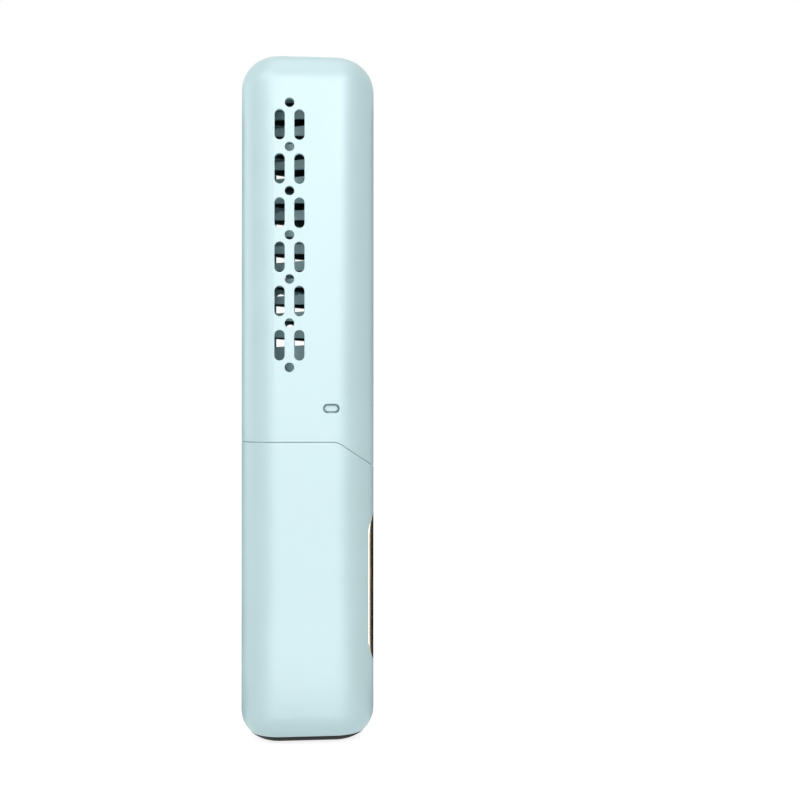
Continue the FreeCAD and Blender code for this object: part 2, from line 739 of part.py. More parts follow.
def make_front_shell():
    """Front half of the neck and comb head with its teeth."""
    body = new_body("front_comb_shell")
    pad(body, draw(new_sketch(body, "XY_Plane", "neck_low"), neck_section()), "neck_top - neck_low")
    sections = [
        draw(new_sketch(body, "XY_Plane", "neck_top"), neck_section()),
        draw(new_sketch(body, "XY_Plane", "(neck_top + head_base) / 2"), flare_section()),
        draw(new_sketch(body, "XY_Plane", "head_base"), head_section()),
    ]
    flare = body.newObject("PartDesign::AdditiveLoft", "front_comb_shell_flare")
    flare.Profile = sections[0]
    flare.Sections = sections[1:]
    finish(body, flare)
    pad(body, draw(new_sketch(body, "XY_Plane", "head_base"), head_section()), "head_top - head_base")
    cut_through(body, draw(new_sketch(body, "XZ_Plane"), head_crown()))
    cut_through(body, draw(new_sketch(body, "YZ_Plane"), side_crown()))

    # Hollows for the boards, the leads, the heater and the heating comb
    neck_hollow = rounded("neck_half_width - neck_wall", "neck_half_depth - neck_wall",
                          "(neck_radius - neck_wall)")
    cut(body, draw(new_sketch(body, "XY_Plane", "neck_low"), neck_hollow), "neck_roof - neck_low",
        forward=True)
    channel = rectangle("channel_front", "channel_back", "-heater_half_width", "overrun")
    cut(body, draw(new_sketch(body, "XY_Plane", "neck_roof - overrun"), channel),
        "comb_low - neck_roof + 2 * overrun", forward=True)
    tip, arc_end, angle, half = wedge("head_wall")
    cavity = [
        (f"-tip_centre - {tip}", "0 mm", tip, 1),
        arc_end,
        ("spine_offset", f"-{half}"),
        ("cavity_back", f"-{half}"),
        ("cavity_back", "0 mm"),
    ]
    cut(body, draw(new_sketch(body, "XY_Plane", "comb_low - fin_gap"), cavity),
        "comb_high - comb_low + 2 * fin_gap", forward=True)
    cell = rectangle("cavity_back - overrun / 2", "spine_cell_reach", "-spine_cell_depth", "overrun")
    cell_pitch = "((comb_high - comb_low + spine_rib) / spine_cell_rows)"
    hollow = cut(body, draw(new_sketch(body, "XY_Plane", "comb_low"), cell), f"{cell_pitch} - spine_rib",
                 forward=True)
    repeat(body, hollow, "spine_cell_rows", cell_pitch)
    cut_gaps(body, "0 mm")

    # Latch bump, guide rib, button opening and screw seats
    rib = rectangle("latch_offset - rib_width / 2", "latch_offset + rib_width / 2",
                    "rim_height", "latch_height")
    pad(body, draw(new_sketch(body, "XZ_Plane", "neck_half_depth - neck_wall / 2"), rib),
        "neck_wall / 2 + rib_rise")
    bump = lying_pill("latch_offset", "latch_height", "bump_width / 2", "bump_height / 2")
    pad(body, draw(new_sketch(body, "XZ_Plane", "neck_half_depth - neck_wall / 2"), bump),
        "neck_wall / 2 + bump_rise")
    round_edges(body, "bump_round", flat_at("Y", "-(neck_half_depth + bump_rise)"))
    opening = lying_pill("0 mm", "button_height", "(button_half_width + slide_gap)",
                         "(button_half_height + slide_gap)")
    cut(body, draw(new_sketch(body, "YZ_Plane", "half_width"), opening), "half_width - flange_top")
    seats = new_sketch(body, "XZ_Plane", "half_depth")
    holes = new_sketch(body, "XZ_Plane", "half_depth")
    for side in (-1, 1):
        draw_circle(seats, f"{side} * frame_screw_x", "frame_screw_z", "head_radius + screw_gap")
        draw_circle(holes, f"{side} * frame_screw_x", "frame_screw_z", "screw_radius + screw_gap")
    cut(body, seats, "half_depth - frame_screw_face + head_height")
    cut(body, holes, "half_depth - post_half_depth")
    return body


def make_rear_shell(front):
    """Rear half of the neck and comb head, the front half seen in a mirror."""
    rear = doc.addObject("Part::Mirroring", "rear_comb_shell")
    rear.Source = front
    rear.Normal = BACK
    return rear


# Heater

def make_heating_comb():
    """The dark metal comb whose fins fill the teeth."""
    body = new_body("heating_comb")
    tip, arc_end, angle, half = wedge("head_wall + fin_gap")
    back = f"({half} - (spine_offset - comb_back) * tan({angle}))"
    channel, lip = "(heater_half_width + fit_gap)", "(heater_half_width + fit_gap + lip_thickness)"
    lower = [
        arc_end,
        ("comb_back", f"-{back}"),
        ("comb_back", f"-{lip}"),
        ("heater_back", f"-{lip}"),
        ("heater_back", f"-{channel}"),
        ("comb_back", f"-{channel}"),
    ]
    upper = [(x, f"-({y})") for x, y in reversed(lower)]
    upper[-1] += (tip, 1)
    outline = [(f"-tip_centre - {tip}", "0 mm", tip, 1)] + lower + upper
    pad(body, draw(new_sketch(body, "XY_Plane", "comb_low"), outline), "comb_high - comb_low")
    cut_gaps(body, "fin_gap")
    return body


def make_heater_stack():
    """Heater strip, insulating sheet, clamp, sensor, fuse and leads behind the heating comb."""
    width = ("-heater_half_width", "heater_half_width")
    height = ("comb_low", "heater_high")
    beside = "(heater_half_width + fit_gap + lip_thickness + fuse_radius + fit_gap)"
    leads = [rod("heater_lead", UP, "lead_radius",
                 ("board_back + lead_radius", f"{side} * lead_spread", "board_high - lead_overlap"),
                 "comb_low - board_high + lead_overlap") for side in (-1, 1)]
    return {
        "heater_strip": block("heater_strip", ("comb_back", "heater_back"), width, height),
        "heater_sheet": block("heater_sheet", ("heater_back", "sheet_back"), width, height),
        "heater_clamp": block("heater_clamp", ("sheet_back", "clamp_back"), width, height),
        "heat_sensor": rod("heat_sensor", UP, "sensor_radius",
                           ("comb_back + sensor_radius", f"-{beside}", "sensor_height"), "sensor_length"),
        "thermal_fuse": rod("thermal_fuse", UP, "fuse_radius",
                            ("comb_back + fuse_radius", beside, "sensor_height"), "fuse_length"),
        "heater_leads": group("heater_leads", leads),
    }


# Handle

def end_band(outer, inner):
    """Corners of the band round the spine side between two insets of the body outline."""
    out_radius, in_radius = f"(corner_radius - ({outer}))", f"(corner_radius - ({inner}))"
    flat_x, flat_y = "(half_width - corner_radius)", "(half_depth - corner_radius)"
    return [
        (flat_x, f"-{flat_y} - {out_radius}", out_radius, 1),
        (f"{flat_x} + {out_radius}", f"-{flat_y}"),
        (f"{flat_x} + {out_radius}", flat_y, out_radius, 1),
        (flat_x, f"{flat_y} + {out_radius}"),
        (flat_x, f"{flat_y} + {in_radius}", in_radius, -1),
        (f"{flat_x} + {in_radius}", flat_y),
        (f"{flat_x} + {in_radius}", f"-{flat_y}", in_radius, -1),
        (flat_x, f"-{flat_y} - {in_radius}"),
    ]


def make_plate(name, outer, inner, grow):
    """A long plate with round ends that follows the spine side between two insets."""
    body = new_body(name)
    pad(body, draw(new_sketch(body, "XY_Plane", "trim_low - overrun"), end_band(outer, inner)),
        "trim_high - trim_low + 2 * overrun")
    around = new_sketch(body, "YZ_Plane")
    draw(around, rectangle("-body_depth", "body_depth", "trim_low - 2 * overrun", "trim_high + 2 * overrun"))
    draw(around, pill("0 mm", "trim_middle", f"(trim_half_width + {grow})", f"(trim_half_length + {grow})"))
    cut_through(body, around)
    return body


def make_foot(name, low, high):
    """The part of the handle's outer form, with its round foot, between two heights."""
    body = new_body(name)
    pad(body, draw(new_sketch(body, "XY_Plane"), body_outline("0 mm")), "rim_height")
    round_edges(body, "base_round", flat_at("Z", "0 mm"))
    around = rectangle("-half_width", "half_width", "-half_depth", "half_depth")
    if value(low) > 0:
        cut(body, draw(new_sketch(body, "XY_Plane"), around), low, forward=True)
    if value(high) < value("rim_height"):
        cut(body, draw(new_sketch(body, "XY_Plane", high), around), "rim_height", forward=True)
    return body


def make_sleeve():
    """The handle sleeve with its floor and the seat of the trim plate."""
    body = make_foot("sleeve_body", "base_height", "rim_height")
    inside = draw(new_sketch(body, "XY_Plane", "floor_top"), body_outline("sleeve_wall"))
    cut(body, inside, "rim_height", forward=True)
    round_edges(body, "frame_round", flat_at("Z", "floor_top"))
    cut_through(body, draw(new_sketch(body, "XZ_Plane"), above_rim("seam_gap")))
    round_edges(body, "rim_edge", lambda edge: edge.BoundBox.ZMin > value("rim_height - rim_drop - overrun"))
    floor = new_sketch(body, "XY_Plane")
    draw(floor, pill("0 mm", "0 mm", "(plug_half_width + fit_gap)", "(plug_half_length + fit_gap)"))
    for side in (-1, 1):
        draw_circle(floor, f"{side} * base_screw_x", "0 mm", "screw_radius + screw_gap")
    cut(body, floor, "floor_top + overrun", forward=True)
    seat = make_plate("trim_seat", "-overrun", "trim_depth", "trim_gap")
    return without("handle_sleeve", body, seat)


def make_base():
    """The dark base, the end of the round foot, with the opening of the charging socket."""
    body = make_foot("base_cover", "0 mm", "base_height")
    plug = pill("0 mm", "0 mm", "plug_half_width", "plug_half_length")
    pad(body, draw(new_sketch(body, "XY_Plane", "base_height"), plug), "plug_top - base_height")
    opening = pill("0 mm", "0 mm", "(socket_half_height + fit_gap)", "(socket_half_width + fit_gap)")
    cut(body, draw(new_sketch(body, "XY_Plane"), opening), "floor_top", forward=True)
    seats, holes = new_sketch(body, "XY_Plane"), new_sketch(body, "XY_Plane")
    for side in (-1, 1):
        draw_circle(seats, f"{side} * base_screw_x", "0 mm", "head_radius + screw_gap")
        draw_circle(holes, f"{side} * base_screw_x", "0 mm", "screw_radius + screw_gap")
    cut(body, seats, "base_screw_low + head_height", forward=True)
    cut(body, holes, "floor_top", forward=True)
    return body


def make_frame():
    """The inner frame that carries the battery and the main board."""
    body = new_body("inner_frame")
    outline = rounded("frame_half_width", "frame_half_depth", "frame_radius")
    pad(body, draw(new_sketch(body, "XY_Plane", "frame_low"), outline), "frame_high - frame_low")
    round_edges(body, "frame_round", flat_at("Z", "frame_low"))
    cell = draw_circle(new_sketch(body, "XY_Plane", "cell_low - 2 * tab_thickness"), "-cell_offset", "0 mm",
                       "cell_radius + fit_gap")
    cut(body, cell, "frame_high", forward=True)
    radius = "(frame_radius - frame_wall)"
    flat_x, flat_y = "(frame_half_width - frame_radius)", "(frame_half_depth - frame_radius)"
    bay = [
        ("bay_start", f"-{flat_y} - {radius}"),
        (flat_x, f"-{flat_y} - {radius}", radius, 1),
        (f"{flat_x} + {radius}", f"-{flat_y}"),
        (f"{flat_x} + {radius}", flat_y, radius, 1),
        (flat_x, f"{flat_y} + {radius}"),
        ("bay_start", f"{flat_y} + {radius}"),
    ]
    cut(body, draw(new_sketch(body, "XY_Plane", "bay_low"), bay), "frame_high", forward=True)
    well = rectangle("well_start", "board_back + fit_gap",
                     "-(board_tail_half_width + fit_gap)", "board_tail_half_width + fit_gap")
    cut(body, draw(new_sketch(body, "XY_Plane"), well), "bay_low + overrun", forward=True)
    rails = new_sketch(body, "XY_Plane", "bay_low")
    bridges = new_sketch(body, "XY_Plane", "bridge_low")
    posts = new_sketch(body, "XY_Plane", "frame_high")
    inside = "(frame_half_depth - frame_wall)"
    for side in (-1, 1):
        bite, reach = f"{side} * ({inside} + wall_bite)", f"{side} * ({inside} - rail_depth)"
        near, far = sorted((bite, reach), key=value)
        draw(rails, rectangle("board_back + fit_gap", "board_back + fit_gap + rail_width", near, far))
        near, far = sorted((f"{side} * post_low", f"{side} * post_high"), key=value)
        draw(bridges, rectangle(near, far, f"-({inside} + wall_bite)", f"{inside} + wall_bite"))
        draw(posts, rectangle(near, far, "-post_half_depth", "post_half_depth"))
    pad(body, rails, "frame_high - bay_low")
    pad(body, bridges, "frame_high - bridge_low")
    pad(body, posts, "post_top - frame_high")
    shafts = new_sketch(body, "XZ_Plane", "half_depth")
    for side in (-1, 1):
        draw_circle(shafts, f"{side} * frame_screw_x", "frame_screw_z", "screw_radius + screw_gap")
    cut(body, shafts, "body_depth")
    sockets = new_sketch(body, "XY_Plane")
    for side in (-1, 1):
        draw_circle(sockets, f"{side} * base_screw_x", "0 mm", "screw_radius + screw_gap")
    cut(body, sockets, "bay_low - tab_thickness - fit_gap", forward=True)
    return body


def make_screw(name, axis, start, length):
    """A pan-head screw that starts at its head."""
    head = rod(f"{name}_head", axis, "head_radius", start, "head_height")
    shank = rod(f"{name}_shank", axis, "screw_radius", start, length)
    return joined(f"{name}_screw", [head, shank])


def make_screws():
    """Screws that tie the shells to the frame and the base to the frame."""
    frame_screws, base_screws = [], []
    for side in (-1, 1):
        across = f"{side} * frame_screw_x"
        for face, axis in (("-frame_screw_face", BACK), ("frame_screw_face", -BACK)):
            start = (across, face, "frame_screw_z")
            frame_screws.append(make_screw("frame", axis, start, "frame_screw_length"))
        start = (f"{side} * base_screw_x", "0 mm", "base_screw_low")
        base_screws.append(make_screw("base", UP, start, "base_screw_length"))
    return {
        "frame_screws": group("frame_screws", frame_screws),
        "base_screws": group("base_screws", base_screws),
    }


# Electrical parts in the handle

def make_socket():
    """The charging socket: a metal shell and the tongue inside it."""
    body = new_body("charging_socket")
    outside = pill("0 mm", "0 mm", "socket_half_height", "socket_half_width")
    pad(body, draw(new_sketch(body, "XY_Plane", "socket_low"), outside), "socket_high - socket_low")
    inside = pill("0 mm", "0 mm", "(socket_half_height - socket_wall)", "(socket_half_width - socket_wall)")
    cut(body, draw(new_sketch(body, "XY_Plane"), inside), "socket_high - socket_back", forward=True)
    tongue = block("socket_tongue", ("-tongue_half_height", "tongue_half_height"),
                   ("-tongue_half_width", "tongue_half_width"),
                   ("socket_low + tongue_recess", "socket_high - socket_back"))
    return {"charging_socket": body, "socket_tongue": tongue}


def make_board():
    """The main board with a narrow tail for the socket, its coil and its chips."""
    body = new_body("main_board")
    outline = [
        ("-board_tail_half_width", "board_low"),
        ("board_tail_half_width", "board_low"),
        ("board_tail_half_width", "board_shoulder"),
        ("board_half_width", "board_shoulder"),
        ("board_half_width", "board_high"),
        ("-board_half_width", "board_high"),
        ("-board_half_width", "board_shoulder"),
        ("-board_tail_half_width", "board_shoulder"),
    ]
    pad(body, draw(new_sketch(body, "YZ_Plane", "socket_half_height"), outline), "board_thickness")
    coil = rod("boost_coil", RIGHT, "coil_radius", ("board_back", "0 mm", "coil_z"), "coil_height")
    chips = []
    for number in range(round(value("chip_count"))):
        low = f"chip_low + {number} * chip_pitch"
        chips.append(block("chip", ("board_back", "board_back + chip_height"),
                           ("-chip_half_width", "chip_half_width"), (low, f"{low} + chip_length")))
    return {"main_board": body, "boost_coil": coil, "control_chips": group("control_chips", chips)}


def make_battery():
    """The round cell and the metal tabs from its ends to the main board."""
    can = rod("cell_can", UP, "cell_radius", ("-cell_offset", "0 mm", "cell_low"), "cell_length - nub_height")
    nub = rod("cell_nub", UP, "nub_radius", ("-cell_offset", "0 mm", "cell_low"), "cell_length")
    reach = ("-cell_offset - tab_overlap", "socket_half_height")
    width = ("-tab_half_width", "tab_half_width")
    return {
        "battery_cell": joined("battery_cell", [can, nub]),
        "upper_tab": block("upper_tab", reach, width, ("cell_high", "cell_high + tab_thickness")),
        "lower_tab": block("lower_tab", reach, width, ("cell_low - tab_thickness", "cell_low")),
    }


# Button

def make_button():
    """The power button, flush with the neck, and the plunger of the switch behind it."""
    body = new_body("power_button")
    flange = lying_pill("0 mm", "button_height", "(button_half_width + flange_margin)",
                        "(button_half_height + flange_margin)")
    pad(body, draw(new_sketch(body, "YZ_Plane", "flange_low"), flange), "flange_thickness")
    face = lying_pill("0 mm", "button_height", "button_half_width", "button_half_height")
    pad(body, draw(new_sketch(body, "YZ_Plane", "flange_low"), face), "half_width - flange_low")
    around = new_sketch(body, "XY_Plane", "button_height - body_depth")
    draw(around, rectangle("-body_width", "body_width", "-body_depth", "body_depth"))
    inset = "(neck_inset + button_sink)"
    draw(around, body_outline(inset))
    cut(body, around, "2 * body_depth", forward=True)
    round_edges(body, "button_round", lambda edge: edge.BoundBox.XMin > value("flange_top + overrun"))
    plunger = rod("switch_plunger", RIGHT, "plunger_radius", ("plunger_low", "0 mm", "button_height"),
                  "flange_low - plunger_low")
    return {"power_button": body, "switch_plunger": plunger}


def make_switch():
    """The switch behind the button and the small board that carries it."""
    box = block("switch_box", ("switch_low", "switch_high"), ("-switch_half", "switch_half"),
                ("button_height - switch_half", "button_height + switch_half"))
    bore = rod("switch_bore", RIGHT, "plunger_radius + slide_gap", ("bore_low", "0 mm", "button_height"),
               "body_width")
    board = block("key_board", ("switch_low - key_board_thickness", "switch_low"),
                  ("-key_board_half_width", "key_board_half_width"), ("post_top", "key_board_high"))
    return {"push_switch": without("push_switch", box, bore), "key_board": board}


front_shell = make_front_shell()
nodes = {
    "cap_shell": make_cap(),
    "handle_sleeve": make_sleeve(),
    "base_cover": make_base(),
    "trim_plate": make_plate("trim_plate", "0 mm", "trim_thickness", "0 mm"),
    "trim_tape": make_plate("trim_tape", "trim_thickness", "trim_depth", "-tape_margin"),
    "front_comb_shell": front_shell,
    "rear_comb_shell": make_rear_shell(front_shell),
    "heating_comb": make_heating_comb(),
    "inner_frame": make_frame(),
}
for make_family in (make_heater_stack, make_screws, make_socket, make_board, make_battery, make_button,
                    make_switch):
    nodes.update(make_family())
doc.recompute()

for item in doc.Objects:
    if "Invalid" in item.State or "Error" in item.State:
        raise RuntimeError(f"{item.Name} did not recompute")
os.makedirs("parts", exist_ok=True)
for name, piece in nodes.items():
    piece.Label = name
    if piece.Shape.isNull() or not piece.Shape.isValid() or not piece.Shape.Solids:
        raise RuntimeError(f"{name} has no valid solid")
    piece.Shape.exportStep(f"parts/{name}.step")
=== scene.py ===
"""Finishes, small details and studio for a cordless hot comb with a pull-off vented cap."""
import math

import bmesh
import bpy
from bpy.props import FloatProperty, FloatVectorProperty, IntProperty, PointerProperty
from mathutils import Matrix, Vector


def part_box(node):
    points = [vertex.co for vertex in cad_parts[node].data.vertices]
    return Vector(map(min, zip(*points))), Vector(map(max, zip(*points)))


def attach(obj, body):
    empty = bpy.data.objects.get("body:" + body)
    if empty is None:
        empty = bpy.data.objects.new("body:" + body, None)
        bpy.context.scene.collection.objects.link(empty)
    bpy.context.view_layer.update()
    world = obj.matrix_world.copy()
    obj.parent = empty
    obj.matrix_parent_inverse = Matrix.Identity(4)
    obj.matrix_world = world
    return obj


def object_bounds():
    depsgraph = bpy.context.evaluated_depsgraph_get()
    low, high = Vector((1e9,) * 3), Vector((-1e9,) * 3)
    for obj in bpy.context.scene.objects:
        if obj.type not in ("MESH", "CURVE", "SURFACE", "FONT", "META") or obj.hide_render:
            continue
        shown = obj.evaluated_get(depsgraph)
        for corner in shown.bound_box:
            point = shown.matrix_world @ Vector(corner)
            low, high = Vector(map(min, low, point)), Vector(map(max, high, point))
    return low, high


bl_info = {
    "name": "Hot comb finishes",
    "version": (1, 0, 0),
    "blender": (4, 5, 0),
    "location": "3D View > Sidebar > Hot Comb",
    "description": "Gives the hot comb its finishes and small details and sets up the studio",
    "category": "Object",
}

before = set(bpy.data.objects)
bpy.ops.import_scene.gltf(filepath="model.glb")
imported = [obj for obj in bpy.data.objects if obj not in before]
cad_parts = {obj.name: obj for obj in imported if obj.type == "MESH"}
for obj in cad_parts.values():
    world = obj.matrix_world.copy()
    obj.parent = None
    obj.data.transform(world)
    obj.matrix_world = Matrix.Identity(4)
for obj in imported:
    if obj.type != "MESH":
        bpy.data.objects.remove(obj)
CAD_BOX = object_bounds()

# Units and limits of the kinds of setting
SHARE = {"subtype": "FACTOR", "min": 0.0, "max": 1.0}
COLOUR = {"subtype": "COLOR", "size": 3, "min": 0.0, "max": 1.0}
LENGTH = {"subtype": "DISTANCE", "unit": "LENGTH", "min": 0.0, "precision": 6}
PLACE = {"subtype": "TRANSLATION", "unit": "LENGTH", "size": 3}
ANGLE = {"subtype": "ANGLE", "unit": "ROTATION"}
POWER = {"unit": "POWER", "min": 0.0}

# Values that all finishes share: the span of a noise, the relief, the edges and the scales of patterns
NOISE_LOW = 0.3
NOISE_HIGH = 0.7
BUMP_STRENGTH = 0.6
EDGE_RADIUS = 0.0001
EDGE_SAMPLES = 6
DRIFT_SCALE = 60.0
LINE_STRETCH = (1.0, 1.0, 0.02)

# Points that are closer together than this are merged
MERGE_DISTANCE = 1e-7

# The foot band covers the sleeve's faces whose normals have an upright part between these two
BAND_FLATTEST = -0.95
BAND_STEEPEST = -0.3

# Finishes of the inner parts, and the nodes that each one goes on
INNER_MOULDINGS = {
    "Black moulding": {
        "colour": (0.012, 0.012, 0.014), "roughness": 0.5, "grain": 0.0005, "depth": 0.00001, "tone": 0.15},
    "Fired ceramic": {
        "colour": (0.78, 0.75, 0.68), "roughness": 0.55, "grain": 0.0003, "depth": 0.000008, "tone": 0.04},
    "Circuit board": {
        "colour": (0.01, 0.085, 0.03), "roughness": 0.35, "grain": 0.0006, "depth": 0.000006, "tone": 0.2},
    "Frame moulding": {
        "colour": (0.34, 0.37, 0.37), "roughness": 0.5, "grain": 0.0005, "depth": 0.00001, "tone": 0.04},
    "Amber film": {
        "colour": (0.47, 0.18, 0.02), "roughness": 0.25, "grain": 0.0008, "depth": 0.000006, "tone": 0.1},
    "Sealed bead": {
        "colour": (0.07, 0.03, 0.01), "roughness": 0.15, "grain": 0.0005, "depth": 0.000004, "tone": 0.1},
    "Cell wrap": {
        "colour": (0.03, 0.15, 0.3), "roughness": 0.3, "grain": 0.0009, "depth": 0.000006, "tone": 0.08},
}
INNER_METALS = {
    "Plated steel": {"colour": (0.6, 0.6, 0.62), "roughness": 0.32, "line": 0.0002, "depth": 0.000003},
    "Bare copper": {"colour": (0.65, 0.3, 0.15), "roughness": 0.3, "line": 0.0002, "depth": 0.000003},
}
INNER_NODES = {
    "Black moulding": (
        "trim_tape", "switch_plunger", "push_switch", "boost_coil", "control_chips", "socket_tongue"),
    "Fired ceramic": ("heater_strip", "thermal_fuse"),
    "Circuit board": ("main_board", "key_board"),
    "Frame moulding": ("inner_frame",),
    "Amber film": ("heater_sheet",),
    "Sealed bead": ("heat_sensor",),
    "Cell wrap": ("battery_cell",),
    "Plated steel": (
        "frame_screws", "base_screws", "heater_clamp", "upper_tab", "lower_tab", "charging_socket"),
    "Bare copper": ("heater_leads",),
}

# Rays that see the white background, and kinds of ray that the dark sheets are hidden from
LOOKING_RAYS = ("Is Camera Ray", "Is Glossy Ray", "Is Transmission Ray")
HIDDEN_FROM = ("camera", "diffuse", "transmission", "shadow", "volume_scatter")

# Colours of the stage, and how near to the camera a thing may stand
WHITE = (1.0, 1.0, 1.0, 1.0)
BLACK = (0.0, 0.0, 0.0, 1.0)
CLIP_START = 0.01


# Sizes and colours that a user would change

class ShellLook(bpy.types.PropertyGroup):
    """The pale moulded shells, the dark base and the band round the foot."""
    colour: FloatVectorProperty(
        name="Shell colour", description="Colour of the cap, the handle and the comb shells",
        default=(0.547, 0.754, 0.785), **COLOUR)
    roughness: FloatProperty(
        name="Shell roughness", description="Roughness of the satin shells", default=0.4, **SHARE)
    gloss: FloatProperty(
        name="Shell gloss", description="Strength of the shells' mirror light", default=1.0, **SHARE)
    grain: FloatProperty(
        name="Shell grain", description="Size of the fine grain in the shells", default=0.00035, **LENGTH)
    grain_depth: FloatProperty(
        name="Shell grain depth", description="Depth of the fine grain in the shells",
        default=0.000004, **LENGTH)
    edge: FloatProperty(
        name="Shell edge", description="Radius that softens the moulded edges", default=0.00015, **LENGTH)
    base_colour: FloatVectorProperty(
        name="Base colour", description="Colour of the dark base", default=(0.004, 0.006, 0.006), **COLOUR)
    base_roughness: FloatProperty(
        name="Base roughness", description="Roughness of the dark base", default=0.55, **SHARE)
    base_gloss: FloatProperty(
        name="Base gloss", description="Strength of the base's mirror light", default=0.1, **SHARE)
    base_grain: FloatProperty(
        name="Base grain", description="Size of the pebbled grain of the base", default=0.0007, **LENGTH)
    base_grain_depth: FloatProperty(
        name="Base grain depth", description="Depth of the pebbled grain of the base",
        default=0.00002, **LENGTH)
    base_tone: FloatProperty(
        name="Base tone", description="How far the base's tone drifts", default=0.12, **SHARE)
    band_top: FloatProperty(
        name="Band top", description="Height of the dark band round the foot", default=0.0026, **LENGTH)
    band_wall: FloatProperty(
        name="Band thickness", description="Thickness of the dark band", default=0.00003, **LENGTH)


class MetalLook(bpy.types.PropertyGroup):
    """The gold trim and the dark heating comb."""
    gold: FloatVectorProperty(
        name="Gold colour", description="Colour of the trim plate and the button",
        default=(0.87, 0.75, 0.57), **COLOUR)
    plate_roughness: FloatProperty(
        name="Plate roughness", description="Roughness of the brushed trim plate", default=0.2, **SHARE)
    plate_depth: FloatProperty(
        name="Plate brush depth", description="Depth of the lines on the plate", default=0.000004, **LENGTH)
    button_roughness: FloatProperty(
        name="Button roughness", description="Roughness of the coated button", default=0.24, **SHARE)
    button_depth: FloatProperty(
        name="Button brush depth", description="Depth of the lines on the button and the contacts",
        default=0.000002, **LENGTH)
    brush: FloatProperty(
        name="Brush width", description="Width of the brushed lines", default=0.00012, **LENGTH)
    comb: FloatVectorProperty(
        name="Comb colour", description="Colour of the coated heating comb", default=(0.01, 0.011, 0.012),
        **COLOUR)
    comb_metal: FloatProperty(
        name="Comb metal", description="Share of bare metal in the comb's coat", default=0.6, **SHARE)
    comb_roughness: FloatProperty(
        name="Comb roughness", description="Roughness of the coated heating comb", default=0.42, **SHARE)
    comb_swing: FloatProperty(
        name="Comb swing", description="How far the comb's roughness drifts", default=0.06, **SHARE)
    comb_tone: FloatProperty(
        name="Comb tone", description="How far the comb's tone drifts", default=0.2, **SHARE)
    comb_grain: FloatProperty(
        name="Comb grain", description="Size of the grain in the comb's coat", default=0.0004, **LENGTH)
    comb_grain_depth: FloatProperty(
        name="Comb grain depth", description="Depth of the grain in the comb's coat",
        default=0.00001, **LENGTH)


class DetailSizes(bpy.types.PropertyGroup):
    """The power mark on the button and the contacts in the charging socket."""
    mark_radius: FloatProperty(
        name="Mark radius", description="Radius of the power mark's ring", default=0.0015, **LENGTH)
    mark_line: FloatProperty(
        name="Mark line", description="Width of the power mark's line", default=0.00036, **LENGTH)
    mark_proud: FloatProperty(
        name="Mark height", description="Height of the power mark over the button", default=0.00004, **LENGTH)
    mark_sunk: FloatProperty(
        name="Mark depth", description="Depth of the power mark in the button", default=0.00008, **LENGTH)
    mark_opening: FloatProperty(
        name="Mark opening", description="Angle left open at the top of the ring", default=math.radians(80.0),
        **ANGLE)
    mark_steps: IntProperty(
        name="Mark steps", description="Faces along the power mark's ring", default=48, min=8, max=128)
    mark_foot: FloatProperty(
        name="Mark foot", description="Foot of the power mark's bar, as a share of the ring's radius",
        default=0.3, **SHARE)
    mark_head: FloatProperty(
        name="Mark head", description="Head of the power mark's bar, as a share of the ring's radius",
        default=1.3, min=0.0, max=2.0)
    mark_colour: FloatVectorProperty(
        name="Mark colour", description="Colour of the power mark", default=(0.05, 0.04, 0.03), **COLOUR)
    mark_roughness: FloatProperty(
        name="Mark roughness", description="Roughness of the power mark's paint", default=0.45, **SHARE)
    mark_grain: FloatProperty(
        name="Mark grain", description="Size of the grain in the paint", default=0.0003, **LENGTH)
    mark_grain_depth: FloatProperty(
        name="Mark grain depth", description="Depth of the grain in the paint", default=0.000002, **LENGTH)
    contact_count: IntProperty(
        name="Contacts", description="Contacts on each side of the socket's tongue", default=8, min=1, max=16)
    contact_width: FloatProperty(
        name="Contact width", description="Width of one contact", default=0.00025, **LENGTH)
    contact_proud: FloatProperty(
        name="Contact height", description="Height of one contact over the tongue", default=0.00005, **LENGTH)
    edge: FloatProperty(
        name="Detail edge", description="Radius that softens the edges of the mark and the contacts",
        default=0.00002, **LENGTH)


